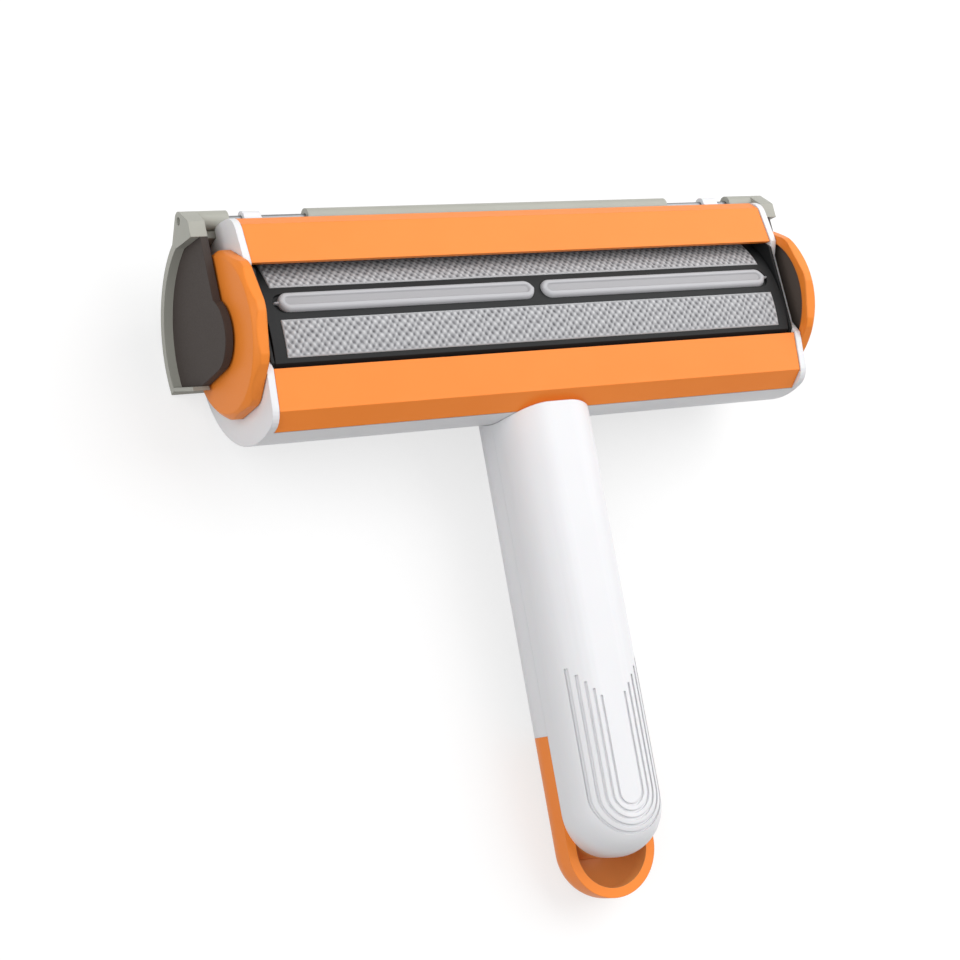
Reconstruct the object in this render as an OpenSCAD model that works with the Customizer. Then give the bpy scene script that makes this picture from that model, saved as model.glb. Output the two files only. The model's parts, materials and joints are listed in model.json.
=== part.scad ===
// Pet hair removal brush, lying on its back with the fabric window facing up.
// X runs along the head, Y from the handle's loop to the lid's hinge, Z out of the window.
// Profiles of the head are drawn as [up the window, out of the window] around the head's centre line.

/* [Head] */
// Distance between the inner faces of the end walls
head_len = 172.4; // [150:0.2:210]
// Radius of the round back of the head
head_r = 30.5; // [30:0.1:32]
// Height of the window plane above the head's centre line
front_h = 13; // [12.6:0.1:13.4]
// Thickness of the end walls
end_wall = 2; // [1.8:0.1:2.6]
// Thickness of the housing's curved shell
shell_wall = 2.2; // [1.8:0.1:2.6]
// Slope of the front panels away from the window plane, in mm per mm
face_slope = 0.14; // [0.1:0.01:0.16]
// Angle from straight up at which the upper panel meets the top rail
rail_front_angle = 15.5; // [14:0.5:18]
// Angle from straight up at which the lower panel meets the round back
belly_front_angle = 169.5; // [168:0.5:171]

// Gap between the lid's top edge and the top rail, as an angle
rail_gap_angle = 2; // [1.6:0.1:2.4]
// Seam between a front panel and the shell, as an angle
seam_angle = 0.5; // [0.4:0.1:0.8]
// Height by which the end walls stand out past the panels' front face
wall_proud = 0.3; // [0.1:0.1:0.5]
// Radius of the end walls' front corners
wall_round = 5.5; // [4:0.5:6.5]
// Depth of the dip in the end walls beside the window
wall_dip = 2; // [1:0.1:2.4]

/* [Window and panels] */
// Half of the window's height
win_half = 14.8; // [14.6:0.1:15.4]
// Distance inside the head's round at which the upper panel's front face ends
upper_inset = 4.1; // [3.5:0.1:4.6]
// Distance inside the head's round at which the lower panel's front face ends
lower_inset = 4.4; // [3.9:0.1:5]
// Thickness of a panel's lip at the window
panel_lip = 1.4; // [1.2:0.1:1.6]
// Thickness of a panel where it lies on the front frame
panel_t = 2.6; // [2.4:0.1:2.8]
// Thickness of the front frame under the panels
frame_t = 1.5; // [1.2:0.1:1.8]
// Distance from the window's edge to the front frame
frame_set = 2.7; // [2.4:0.1:3]
// Angle over which the front frame runs into the shell
frame_root = 6; // [5:0.5:7]
// Distance from a panel's outer edge to the heel on its underside
panel_heel = 1.4; // [1.2:0.1:1.6]
// Gap between the panels' ends and the end walls
panel_end_gap = 0.2; // [0.1:0.05:0.3]
// Width of the soft scraper strips under the panel lips
scraper_w = 3.8; // [3:0.1:4.2]
// Distance from the window's edge to a scraper's free edge
scraper_set = 1.2; // [1.1:0.1:1.5]

/* [Drum] */
// Depth of the drum's axis below the head's centre line
axis_drop = 1.3; // [1:0.1:1.6]
// Depth of the drum's crown under the window plane
crown_sink = 0.6; // [0.5:0.1:0.9]
// Radius of the drum's working face
face_r = 36; // [34:0.5:38]
// Half of the width of the drum's face
face_half = 16.4; // [16:0.1:16.5]
// Thickness of the drum's face
drum_wall = 2.4; // [2:0.1:2.8]
// Width by which the drum's flanges stand out past its face
flange_out = 1.4; // [1.2:0.1:1.5]
// Further width by which the flanges flare at their lower edges
flange_flare = 0.4; // [0.2:0.1:0.5]
// Thickness of the drum's flanges
flange_t = 2; // [1.8:0.1:2.4]
// Height above the axis at which the flanges bend
flange_knee = 5; // [4:0.5:6]
// Depth of the flanges' lower edges below the axis
flange_low = 1; // [0:0.5:2]
// Thickness of the ribs under the drum's face
rib_t = 1.6; // [1.2:0.1:2]
// Tilt of the drum at rest, against its stop
rock_rest = 15; // [12:0.5:15]
// Gap between the drum's ends and the end walls
drum_end_gap = 1.3; // [1.2:0.1:1.6]
// Distance from the drum's ends to its end webs
web_set = 3.6; // [3.4:0.1:4]
// Thickness of the drum's end webs
web_t = 2.2; // [1.8:0.1:2.6]
// Radius of the drum's hubs
hub_r = 7; // [6.4:0.1:7.6]
// Length of the drum's hubs
hub_len = 12; // [11:0.5:14]

/* [Fabric and blades] */
// Distance from the middle of the drum's face to a fabric strip
strip_in = 5.2; // [4.8:0.1:5.4]
// Distance from the middle of the drum's face to a strip's far edge
strip_out = 15.2; // [14.6:0.1:15.3]
// Distance from the drum's ends to the fabric's ends
strip_end = 3.6; // [3:0.1:5]
// Thickness of the fabric strips
strip_t = 0.9; // [0.8:0.05:1]
// Height of the fabric above the drum's face
strip_proud = 0.35; // [0.3:0.05:0.4]
// Width of the wiper blades
blade_w = 6; // [5.4:0.1:6.4]
// Height of the blades' ridge above the drum's face
blade_ridge = 1.3; // [1:0.1:1.4]
// Height of the blades' edges above the drum's face
blade_edge = 0.5; // [0.3:0.1:0.7]
// Depth of the blades' seats in the drum's face
blade_seat = 0.7; // [0.5:0.1:0.9]
// Clearance around the blades in their seats
blade_fit = 0.05; // [0.02:0.01:0.1]
// Width of the flat along the blades' ridge
blade_flat = 0.6; // [0.4:0.1:0.8]
// Distance between the two blades
blade_gap = 2.6; // [2:0.1:4]
// Distance from the drum's ends to the blades' ends
blade_end = 3; // [2.6:0.1:6]

/* [Knobs] */
// Radius of the knobs over their corners
knob_r = 23; // [22.4:0.1:23.2]
// Number of flats on a knob
knob_sides = 10; // [8:1:12]
// Thickness of a knob
knob_t = 4; // [3.6:0.1:4.2]
// Thickness of a knob's outer disc
knob_face_t = 2; // [1.8:0.1:2.2]
// Thickness of a knob's rim
knob_rim_t = 2.2; // [1.8:0.1:2.6]
// Chamfer around a knob's outer face
knob_chamfer = 1.5; // [1.2:0.1:1.8]
// Distance by which a knob's corners are rounded off
knob_soft = 0.4; // [0.2:0.1:0.5]
// Running gap between a knob and its end wall
knob_gap = 0.3; // [0.3:0.05:0.4]
// Radius of the axle moulded on each knob
axle_r = 4; // [3.6:0.1:4.4]
// Depth of the axle's socket in the drum's hub
socket_len = 6; // [5:0.5:7]
// Clearance of the axle in its socket
socket_fit = 0.02; // [0.01:0.01:0.05]
// Gap between the axle's end and the socket's floor
socket_gap = 0.3; // [0.2:0.1:0.5]
// Running clearance of the axle in its bush
run_fit = 0.05; // [0.04:0.01:0.08]
// Wall of the bushes
bush_wall = 1.8; // [1.6:0.1:2.2]
// Gap between the bushes' wide flanges and the panels' lips
flange_gap = 0.4; // [0.3:0.1:1]
// Depth of the flanges' front edges under the window plane
flange_sink = 0.3; // [0.2:0.1:0.8]
// Thickness of the bushes' flanges
bush_flange_t = 0.9; // [0.8:0.05:0.9]

/* [Lid] */
// Thickness of the lid's curved shell
lid_wall = 2.3; // [2:0.1:2.5]
// Distance from an end wall's outer face to the lid's end
lid_over = 9.8; // [9.4:0.1:10.8]
// Angle below straight back at which the lid ends
lid_low_angle = 13; // [11:0.5:15]
// Gap between the lid and the housing
lid_gap = 0.4; // [0.3:0.05:0.5]
// Thickness of the ledge under the lid's lower edge
ledge_t = 1.8; // [1.4:0.1:2.2]
// Angle over which the ledge joins the belly
ledge_root = 8; // [6:0.5:9]
// Angle by which the ledge reaches under the lid
ledge_lap = 5; // [4:0.5:6]
// Distance of the hinge's centre above the head's round
hinge_out = 2.5; // [2.4:0.1:2.8]
// Depth of the hinge's centre below the head's centre line
hinge_drop = 1.5; // [1.3:0.1:1.7]
// Radius of the hinge barrels
barrel_r = 2.6; // [2.5:0.1:2.7]
// Running gap around the middle barrel in the top rail
barrel_gap = 0.3; // [0.25:0.05:0.4]
// Angle over which the webs under the barrels run out on the lid's back
web_angle = 12; // [10:0.5:13]
// Radius of the housing's hinge lugs
lug_r = 2.3; // [2.1:0.1:2.4]
// Radius of the hinge pin
pin_r = 1.1; // [1:0.05:1.2]
// Distance from the lid's ends to the pin's ends
pin_inset = 1; // [0.5:0.1:1.5]
// Half of the length of the lid's middle barrel
mid_barrel = 60.6; // [50:0.1:64]
// Distance from the head's middle to the inner ends of the end barrels
end_barrel = 84.3; // [82:0.1:86]
// Distance from the head's middle to the hinge lugs
lug_in = 74.6; // [70:0.1:76]
// Width of the hinge lugs
lug_w = 5.2; // [4:0.1:6]
// Thickness of the lid's dark side plates
plate_t = 2.2; // [2:0.1:2.4]
// Gap between the side plates and the knobs
plate_gap = 0.7; // [0.6:0.05:0.8]
// Width of the lid's light lip along a side plate's lower edge
lip_w = 1.2; // [1:0.1:1.4]
// Radius of the round lobe of a side plate
lobe_r = 9.8; // [9:0.2:12]
// Distance from the head's centre line to a side plate's front edge
plate_front = 4.6; // [4:0.1:5.2]
// Distance inside the head's round of a side plate's top edge
plate_inset = 4.5; // [4.1:0.1:5.5]
// Lowest reach of a side plate below the head's centre line
plate_low = 11; // [10:0.2:12]

/* [Handle] */
// Distance from the head's centre line to the middle of the handle's round end
handle_len = 141.6; // [134:0.2:150]
// Half of the handle's width
handle_half_w = 14.2; // [13.8:0.1:14.8]
// Half of the handle's depth
handle_half_d = 15.3; // [15:0.1:15.6]
// Radius of the handle's long edges
handle_round = 11; // [10:0.2:12]
// Depth by which the leaning handle's end would pass the head's back, cut to a flat heel
heel_depth = 1.4; // [1:0.1:1.5]
// Depth of the handle's line under the head's centre line, at the head's middle
handle_drop = 2.8; // [2.6:0.1:3]
// Wall of the handle's shells
handle_wall = 2.2; // [2:0.1:2.6]
// Distance along the handle at which the loop piece starts
tail_start = 119.5; // [107:0.5:121]
// Distance by which the loop reaches past the handle's round end
loop_reach = 11.2; // [10:0.1:13]
// Thickness of the loop
loop_t = 2.8; // [2.6:0.1:3.2]
// Number of nested thumb grooves
groove_count = 5; // [3:1:5]
// Half of the width of the innermost groove
groove_in = 3.8; // [3.2:0.1:4]
// Distance from the round end's centre to the grooves' centre
groove_back = 3.6; // [3:0.1:5]
// Spacing of the thumb grooves
groove_pitch = 1.9; // [1.7:0.1:1.9]
// Width of the thumb grooves
groove_w = 0.7; // [0.5:0.1:0.8]
// Depth of the thumb grooves
groove_depth = 0.5; // [0.3:0.1:0.7]
// Length of the innermost groove's straight sides
groove_len = 27; // [22:1:32]
// Further length of each next groove
groove_step = 2.2; // [0:0.1:3]
// Length of the neck plug inside the handle
plug_len = 22; // [18:1:26]
// Thickness of the neck plug's floor
plug_floor = 2.5; // [2:0.1:3]
// Wall of the neck plug
plug_wall = 3; // [2.4:0.1:3.4]
// Gap between the handle's shells and the head
neck_gap = 0.1; // [0.05:0.05:0.2]
// Clearance of the neck plug in the handle
plug_gap = 0.15; // [0.1:0.05:0.2]

/* [Screws] */
// Radius of the small screws' shanks
screw_r = 1.5; // [1.4:0.05:1.6]
// Radius of the small screws' heads
screw_head_r = 2.8; // [2.6:0.1:3]
// Height of the small screws' heads
screw_head_h = 1.6; // [1.4:0.1:1.8]
// Radius of the neck screw's shank
neck_screw_r = 2; // [1.8:0.1:2.2]
// Radius of the neck screw's head
neck_head_r = 3.6; // [3.4:0.1:3.8]
// Clearance around screws where they pass through
screw_gap = 0.1; // [0.05:0.05:0.2]
// Depth of the knob screws' heads under the knob's face
head_sink = 0.2; // [0.1:0.05:0.3]
// Gap between a screw's tip and the end of its hole
tip_gap = 0.5; // [0.3:0.1:1]
// Width of the cross in the knob screws' heads
drive_w = 0.6; // [0.5:0.1:0.8]
// Depth of the cross in the knob screws' heads
drive_depth = 0.8; // [0.6:0.1:1]
// Depth of the handle screws' seats behind the parting plane
screw_seat = 4; // [3:0.5:6]
// Reach of the handle screws in front of the parting plane
screw_reach = 9; // [7:0.5:10]
// Distance from the handle's back to the neck screw's seat
neck_seat_depth = 1.2; // [1.1:0.1:1.4]
// Reach of the neck screw past the neck plug's wall
neck_past = 2; // [1:0.5:4]
// Wall around a screw's hole
boss_wall = 1.8; // [1.6:0.1:2.2]
// Distances along the handle of the small screws
screw_places = [72, 100, 126];
// Distance from the head's round to the neck screw
neck_screw_out = 13.5; // [12:0.5:15]

/* [Hidden] */
$fn = 96;

// Small overlap that makes a cut pass clean through
cut = 1;
// Small depth by which joined shapes run into each other
sink = 0.2;
// Half lengths along the head, from the inside out
wall_in = head_len / 2;
wall_out = wall_in + end_wall;
panel_half = wall_in - panel_end_gap;
drum_half = wall_in - drum_end_gap;
web_out = drum_half - web_set;
knob_in = wall_out + knob_gap;
knob_out = knob_in + knob_t;
plate_in = knob_out + plate_gap;
lid_half = wall_out + lid_over;

// Distances that follow the head's round
shell_in_r = head_r - shell_wall;
upper_edge = head_r - upper_inset;
lower_edge = head_r - lower_inset;
hinge_up = head_r + hinge_out;
plate_top = head_r - plate_inset;
neck_screw_at = head_r + neck_screw_out;
lid_in_r = head_r - lid_wall;
under_lid_r = lid_in_r - lid_gap;

// Angles around the head's centre line, from straight up towards the window
lid_low = -90 - lid_low_angle;
lid_seam = lid_gap / head_r * 180 / PI;
rail_back = -asin((hinge_drop - 0.2) / head_r);
lid_top = rail_back - rail_gap_angle;
lip_angle = lip_w / lid_in_r * 180 / PI;

// Rounded front corners of the end walls, between the sloped front and the head's round
slope_angle = atan2(1, face_slope);
slope_reach = (front_h + wall_proud + face_slope * win_half) * sin(slope_angle);
corner_angle = slope_angle - acos((slope_reach - wall_round) / (head_r - wall_round));
corner_steps = 6;
flange_r = norm([win_half, front_h + axis_drop - panel_lip]) - flange_gap;

// The drum's face in the drum's own frame, around its axis
crown_h = front_h + axis_drop - crown_sink;
face_c = crown_h - face_r;
strip_half = drum_half - strip_end;

// The screws' heads in the knobs
head_seat = knob_out - screw_head_h - head_sink;

// Offset from the hinge's centre of the corners where flat webs run into a barrel
barrel_chord = 0.7 * barrel_r;
lug_chord = 0.7 * lug_r;

// The handle's frame
loop_end = handle_len + loop_reach;
handle_lean = asin((head_r + heel_depth - handle_drop - handle_half_d) / loop_end);
plug_end = head_r + plug_len;
neck_seat = handle_half_d - neck_seat_depth;

// The part stands on its lowest line, with its box centred on the origin
y_top = hinge_up + barrel_r;
y_low = -(loop_end + handle_half_w) * cos(handle_lean);
y_shift = -(y_top + y_low) / 2;

// Point at an angle from straight up, turning towards the window
function polar(r, a) = [r * cos(a), r * sin(a)];
// Height of the panels' front face at a distance up or down the window
function face_at(u) = front_h - face_slope * (abs(u) - win_half);
// A point under the panels' front face
function under_face(u, depth) = [u, face_at(u) - depth];

// Point on the rounded front corner of an end wall
function corner_point(step) = polar(head_r - wall_round, corner_angle)
    + polar(wall_round, slope_angle + (corner_angle - slope_angle) * step / corner_steps);
// Outline of an end wall's front from the window up, closed far behind the head
function wall_side() = concat(
    [[win_half - 2 * wall_dip, front_h - wall_dip], [win_half, front_h + wall_proud]],
    [for (step = [0 : corner_steps - 1]) corner_point(step)],
    [polar(head_r + sink, corner_angle), [3 * head_r, 0], [3 * head_r, -3 * head_r]]
);
// The same outline down the window, in the opposite order
function wall_other_side() =
    [for (i = [len(wall_side()) - 1 : -1 : 0]) [-wall_side()[i][0], wall_side()[i][1]]];
// Height up or down the window at which a panel's front face ends
function edge_of(side) = side > 0 ? upper_edge : lower_edge;
// Angle at which a panel meets the shell
function front_angle(side) = side > 0 ? rail_front_angle : belly_front_angle;
// Corner of a panel's underside at the shell
function heel_corner(side) = polar(shell_in_r + sink, front_angle(side));
// Corner at which a side plate meets the lid under the hinge
function plate_corner() = polar(lid_in_r - sink, lid_top - 0.75 * web_angle);

module in_place() {
    translate([0, y_shift, head_r]) children();
}

module along_x(x0, x1) {
    translate([x0, 0, 0]) rotate([90, 0, 90]) linear_extrude(height = x1 - x0) children();
}

module rod(r, x0, x1) {
    along_x(x0, x1) circle(r = r);
}

module both_ends() {
    children();
    mirror([1, 0, 0]) children();
}

module at_end(side) {
    if (side < 0) mirror([1, 0, 0]) children();
    else children();
}

module wedge(a0, a1) {
    steps = ceil((a1 - a0) / 50);
    far = 3 * head_r;
    polygon(concat([[0, 0]], [for (i = [0 : steps]) polar(far, a0 + (a1 - a0) * i / steps)]));
}

module arc_band(r_in, r_out, a0, a1) {
    intersection() {
        difference() {
            circle(r = r_out);
            circle(r = r_in);
        }
        wedge(a0, a1);
    }
}

// Housing: end walls, round belly, top rail, front frame and neck plug

module end_wall_profile() {
    difference() {
        intersection() {
            circle(r = head_r);
            polygon(concat(wall_side(), wall_other_side()));
        }
        arc_band(under_lid_r, 2 * head_r, lid_low - lid_seam, rail_back);
        translate([0, -axis_drop]) circle(r = axle_r + run_fit + bush_wall);
        translate([hinge_up, -hinge_drop]) circle(r = barrel_r + barrel_gap);
    }
}

module frame_profile(side) {
    angle = front_angle(side);
    edge = edge_of(side) - panel_heel;
    polygon([
        under_face(side * (win_half + frame_set), panel_t),
        under_face(side * edge, panel_t),
        heel_corner(side),
        polar(shell_in_r + 3 * sink, angle - side * seam_angle),
        polar(shell_in_r + 3 * sink, angle - side * frame_root),
        polar(shell_in_r - frame_t, angle - side * 1.6 * frame_root),
        under_face(side * (edge - frame_t), panel_t + frame_t),
        under_face(side * (win_half + frame_set), panel_t + frame_t)
    ]);
}

module housing_shell_profile() {
    frame_profile(1);
    frame_profile(-1);
    // Top rail under the hinge
    arc_band(shell_in_r, 2 * head_r, rail_back - ledge_root, rail_front_angle - seam_angle);
    // Round belly
    arc_band(shell_in_r, 2 * head_r, belly_front_angle + seam_angle, 360 + lid_low);
    // Ledge that carries the lid's lower edge
    arc_band(under_lid_r - ledge_t, 2 * head_r, 360 + lid_low - ledge_root, 360 + lid_low + ledge_lap);
}

module lug_profile() {
    difference() {
        union() {
            translate([hinge_up, -hinge_drop]) circle(r = lug_r);
            polygon([
                [hinge_up, lug_r - hinge_drop - sink],
                [head_r - cut, lug_r + cut],
                [head_r - cut, -cut],
                [hinge_up - lug_chord, -hinge_drop - lug_chord]
            ]);
        }
        translate([hinge_up, -hinge_drop]) circle(r = pin_r);
    }
}

module neck_plug() {
    difference() {
        in_handle() pill_bar(handle_wall + plug_gap, shell_in_r - 2 * plug_wall, plug_end);
        rod(shell_in_r + 2 * sink, -wall_in, wall_in);
        in_handle()
            pill_bar(handle_wall + plug_gap + plug_wall, head_r + plug_floor, plug_end + cut);
        // Room for the lower panel
        along_x(-wall_in, wall_in) intersection() {
            circle(r = head_r + neck_gap);
            wedge(90, belly_front_angle + seam_angle);
        }
    }
}

module housing() {
    color("whitesmoke") in_place() difference() {
        union() {
            difference() {
                along_x(-wall_out, wall_out) end_wall_profile();
                along_x(-wall_in, wall_in) difference() {
                    square(4 * head_r, center = true);
                    housing_shell_profile();
                }
            }
            both_ends() along_x(lug_in, lug_in + lug_w) lug_profile();
            neck_plug();
        }
        in_handle() across(neck_screw_at, neck_screw_r, -handle_half_d, 0);
    }
}

// Front panels and scrapers

module panel_profile(side) {
    lip = side * (win_half + scraper_set + scraper_w);
    polygon([
        under_face(side * win_half, 0),
        under_face(side * edge_of(side), 0),
        polar(head_r, front_angle(side)),
        heel_corner(side),
        under_face(side * (edge_of(side) - panel_heel), panel_t),
        under_face(lip, panel_t),
        under_face(lip, panel_lip),
        under_face(side * win_half, panel_lip)
    ]);
}

module scraper_profile(side) {
    near = side * (win_half + scraper_set);
    far = side * (win_half + scraper_set + scraper_w);
    polygon([
        under_face(near, panel_lip),
        under_face(far, panel_lip),
        under_face(far, panel_t),
        under_face(near, panel_t)
    ]);
}

module panel(side) {
    color("sandybrown") in_place() along_x(-panel_half, panel_half) panel_profile(side);
}

module scraper(side) {
    color("dimgray") in_place() along_x(-panel_half, panel_half) scraper_profile(side);
}

// Bushes and hinge pin

module bush(side) {
    color("darkslategray") in_place() at_end(side) translate([0, 0, -axis_drop]) difference() {
        union() {
            rod(axle_r + run_fit + bush_wall, wall_in - bush_flange_t, wall_out);
            along_x(wall_in - bush_flange_t, wall_in) intersection() {
                circle(r = flange_r);
                translate([-face_r, front_h + axis_drop - flange_sink - 2 * face_r])
                    square([2 * face_r, 2 * face_r]);
            }
        }
        rod(axle_r + run_fit, wall_in - bush_flange_t - cut, wall_out + cut);
    }
}

module hinge_pin() {
    color("silver") in_place() translate([0, hinge_up, -hinge_drop])
        rod(pin_r, pin_inset - lid_half, lid_half - pin_inset);
}

// Drum, drawn level and then tilted to its stop

module on_drum() {
    in_place() translate([0, 0, -axis_drop]) rotate([-rock_rest, 0, 0]) children();
}

module face_disc(r) {
    translate([0, face_c]) circle(r = r);
}

module face_strip(r_in, r_out, u0, u1) {
    intersection() {
        difference() {
            face_disc(r_out);
            face_disc(r_in);
        }
        translate([u0, 0]) square([u1 - u0, face_r]);
    }
}

module drum_section() {
    knee = face_half + flange_out;
    foot = knee + flange_flare;
    face_strip(face_r - drum_wall, face_r, -face_half, face_half);
    for (side = [-1, 1]) polygon([
        [side * face_half, face_c + sqrt(face_r * face_r - face_half * face_half)],
        [side * knee, flange_knee],
        [side * foot, -flange_low],
        [side * (foot - flange_t), -flange_low],
        [side * (knee - flange_t), flange_knee],
        [side * (face_half - flange_t), crown_h - drum_wall - flange_t]
    ]);
}

module web_profile(back) {
    intersection() {
        face_disc(face_r - drum_wall / 2);
        circle(r = face_half + flange_out);
        translate([-face_r, -back]) square([2 * face_r, face_r]);
    }
}

module drum() {
    color("darkslategray") on_drum() difference() {
        union() {
            along_x(-drum_half, drum_half) drum_section();
            both_ends() along_x(web_out - web_t, web_out) web_profile(hub_r);
            both_ends() rod(hub_r, web_out - hub_len, web_out);
            for (x = [-drum_half / 2, 0, drum_half / 2])
                along_x(x - rib_t / 2, x + rib_t / 2) web_profile(0);
        }
        along_x(-strip_half, strip_half) for (side = [0, 1]) mirror([side, 0])
            face_strip(face_r + strip_proud - strip_t, face_r + cut, strip_in, strip_out);
        both_ends() blade_outline(0) face_strip(face_r - blade_seat, face_r + cut, -blade_w, blade_w);
        both_ends() rod(axle_r + socket_fit, web_out - socket_len, web_out + cut);
        both_ends() rod(screw_r, web_out - hub_len - cut, web_out + cut);
    }
}

module fabric(side) {
    color("darkgray") on_drum() along_x(-strip_half, strip_half)
        mirror([side < 0 ? 1 : 0, 0])
            face_strip(face_r + strip_proud - strip_t, face_r + strip_proud, strip_in, strip_out);
}

// A profile along the head, cut to a blade's outline with its two round ends
module blade_outline(inset) {
    x0 = blade_gap / 2 + blade_w / 2;
    x1 = drum_half - blade_end - blade_w / 2;
    intersection() {
        along_x(0, drum_half) children();
        linear_extrude(height = face_r) union() {
            translate([x0, 0]) circle(r = blade_w / 2 - inset);
            translate([x1, 0]) circle(r = blade_w / 2 - inset);
            translate([x0, inset - blade_w / 2]) square([x1 - x0, blade_w - 2 * inset]);
        }
    }
}

module blade_profile() {
    half = blade_w / 2;
    intersection() {
        polygon([
            [-half, 0],
            [half, 0],
            [half, crown_h + blade_edge],
            [blade_flat / 2, crown_h + blade_ridge],
            [-blade_flat / 2, crown_h + blade_ridge],
            [-half, crown_h + blade_edge]
        ]);
        difference() {
            face_disc(face_r + 2 * blade_ridge);
            face_disc(face_r - blade_seat);
        }
    }
}

module blade(side) {
    color("silver") on_drum() at_end(side) blade_outline(blade_fit) blade_profile();
}

// Knobs and their screws

module knob_blank() {
    turn = 180 / knob_sides;
    soft_r = knob_r - knob_soft;
    intersection() {
        translate([knob_in, 0, 0]) rotate([90, 0, 90]) rotate([0, 0, turn])
            cylinder(r = knob_r, h = knob_t, $fn = knob_sides);
        translate([knob_in, 0, 0]) rotate([90, 0, 90]) rotate_extrude() polygon([
            [0, 0],
            [soft_r, 0],
            [soft_r, knob_t - knob_chamfer],
            [soft_r - knob_chamfer, knob_t],
            [0, knob_t]
        ]);
    }
}

module knob(side) {
    color("sandybrown") in_place() translate([0, 0, -axis_drop]) at_end(side) difference() {
        union() {
            difference() {
                knob_blank();
                rod(knob_r * cos(180 / knob_sides) - knob_rim_t, knob_in - cut, knob_out - knob_face_t);
            }
            rod(hub_r, knob_in, knob_out - knob_face_t / 2);
            rod(axle_r, web_out - socket_len + socket_gap, knob_in + sink);
        }
        rod(screw_r + screw_gap, web_out - socket_len - cut, knob_out + cut);
        rod(screw_head_r + screw_gap, head_seat, knob_out + cut);
    }
}

module knob_screw(side) {
    color("silver") in_place() translate([0, 0, -axis_drop]) at_end(side) difference() {
        union() {
            rod(screw_head_r, head_seat, head_seat + screw_head_h);
            rod(screw_r, web_out - hub_len + tip_gap, head_seat);
        }
        for (turn = [0, 90]) rotate([turn, 0, 0])
            translate([head_seat + screw_head_h, 0, 0])
                cube([2 * drive_depth, 1.3 * screw_head_r, drive_w], center = true);
    }
}

// Lid

module lid_shell_profile() {
    arc_band(lid_in_r, head_r, lid_low, lid_top);
}

module barrel_web_profile() {
    polygon([
        [hinge_up + barrel_chord, -hinge_drop - barrel_chord],
        polar(head_r, lid_top - web_angle),
        polar(lid_in_r + sink, lid_top - web_angle / 2),
        polar(lid_in_r + sink, lid_top),
        [hinge_up - barrel_chord, -hinge_drop - barrel_chord],
        [hinge_up, -hinge_drop]
    ]);
}

module end_gusset_profile() {
    polygon([
        [plate_top, plate_front],
        [head_r, plate_front],
        [hinge_up + barrel_chord, barrel_chord - hinge_drop],
        [hinge_up + barrel_chord, -hinge_drop - barrel_chord],
        polar(head_r, lid_top - web_angle),
        plate_corner()
    ]);
}

module end_lip_profile() {
    corner = polar(lid_in_r + 2 * sink, lid_low);
    polygon([
        corner,
        [-plate_low, corner[1] / 2],
        [lip_w - plate_low, corner[1] / 2],
        polar(lid_in_r + 2 * sink, lid_low + lip_angle)
    ]);
}

module side_plate_profile() {
    corner = polar(lid_in_r + 2 * sink, lid_low);
    intersection() {
        union() {
            translate([0, -axis_drop]) circle(r = lobe_r);
            polygon([
                [plate_top, plate_front],
                [0, plate_front],
                [0, 0],
                [lip_w - plate_low, 0],
                [lip_w - plate_low, corner[1] / 2],
                polar(lid_in_r + 2 * sink, lid_low + lip_angle),
                polar(head_r, lid_low + web_angle),
                [0, -1.5 * head_r],
                [head_r, -1.5 * head_r],
                plate_corner()
            ]);
        }
        circle(r = lid_in_r);
    }
}

module lid_shell() {
    color("gray") in_place() difference() {
        union() {
            along_x(-lid_half, lid_half) lid_shell_profile();
            translate([0, hinge_up, -hinge_drop]) rod(barrel_r, -mid_barrel, mid_barrel);
            along_x(-mid_barrel, mid_barrel) barrel_web_profile();
            both_ends() translate([0, hinge_up, -hinge_drop]) rod(barrel_r, end_barrel, lid_half);
            both_ends() along_x(end_barrel, lid_half) barrel_web_profile();
            both_ends() along_x(plate_in, lid_half) end_gusset_profile();
            both_ends() along_x(plate_in, lid_half) end_lip_profile();
        }
        translate([0, hinge_up, -hinge_drop]) rod(pin_r + run_fit, -lid_half - cut, lid_half + cut);
    }
}

module lid_plate(side) {
    color("dimgray") in_place() at_end(side) along_x(plate_in, plate_in + plate_t) side_plate_profile();
}

// Handle, drawn along minus Y with its front up, then leaned back

module in_handle() {
    translate([0, 0, -handle_drop]) rotate([handle_lean, 0, 0]) children();
}

module handle_section(inset) {
    w = handle_half_w - inset;
    d = handle_half_d - inset;
    r = handle_round - inset;
    square([2 * w, 2 * (d - r)], center = true);
    square([2 * (w - r), 2 * d], center = true);
    for (x = [r - w, w - r]) for (y = [r - d, d - r]) translate([x, y]) circle(r = r);
}

// Straight stretch of the handle's section between two distances along it
module pill_bar(inset, t0, t1) {
    translate([0, -t0, 0]) rotate([90, 0, 0]) linear_extrude(height = t1 - t0) handle_section(inset);
}

module pill_end(inset, t) {
    translate([0, -t, 0]) rotate_extrude() intersection() {
        handle_section(inset);
        translate([0, -handle_half_d]) square([2 * handle_half_w, 2 * handle_half_d]);
    }
}

module pill(inset, t0, t1) {
    pill_bar(inset, t0, t1);
    pill_end(inset, t1);
}

// Everything in front of or behind the handle's parting plane
module half_space(front) {
    far = 2 * loop_end;
    translate([-far / 2, -far, front ? 0 : -far]) cube([far, far, far]);
}

module groove_cutter() {
    for (i = [0 : groove_count - 1]) {
        half = groove_in + groove_pitch * i;
        straight = groove_len + groove_step * i;
        translate([0, groove_back - handle_len, 0]) linear_extrude(height = 2 * handle_half_d) difference() {
            union() {
                circle(r = half + groove_w / 2);
                translate([-half - groove_w / 2, 0]) square([2 * half + groove_w, straight]);
            }
            circle(r = half - groove_w / 2);
            translate([groove_w / 2 - half, 0]) square([2 * half - groove_w, straight + cut]);
        }
    }
}

module head_clearance() {
    rod(head_r + neck_gap, -head_len, head_len);
}

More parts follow.
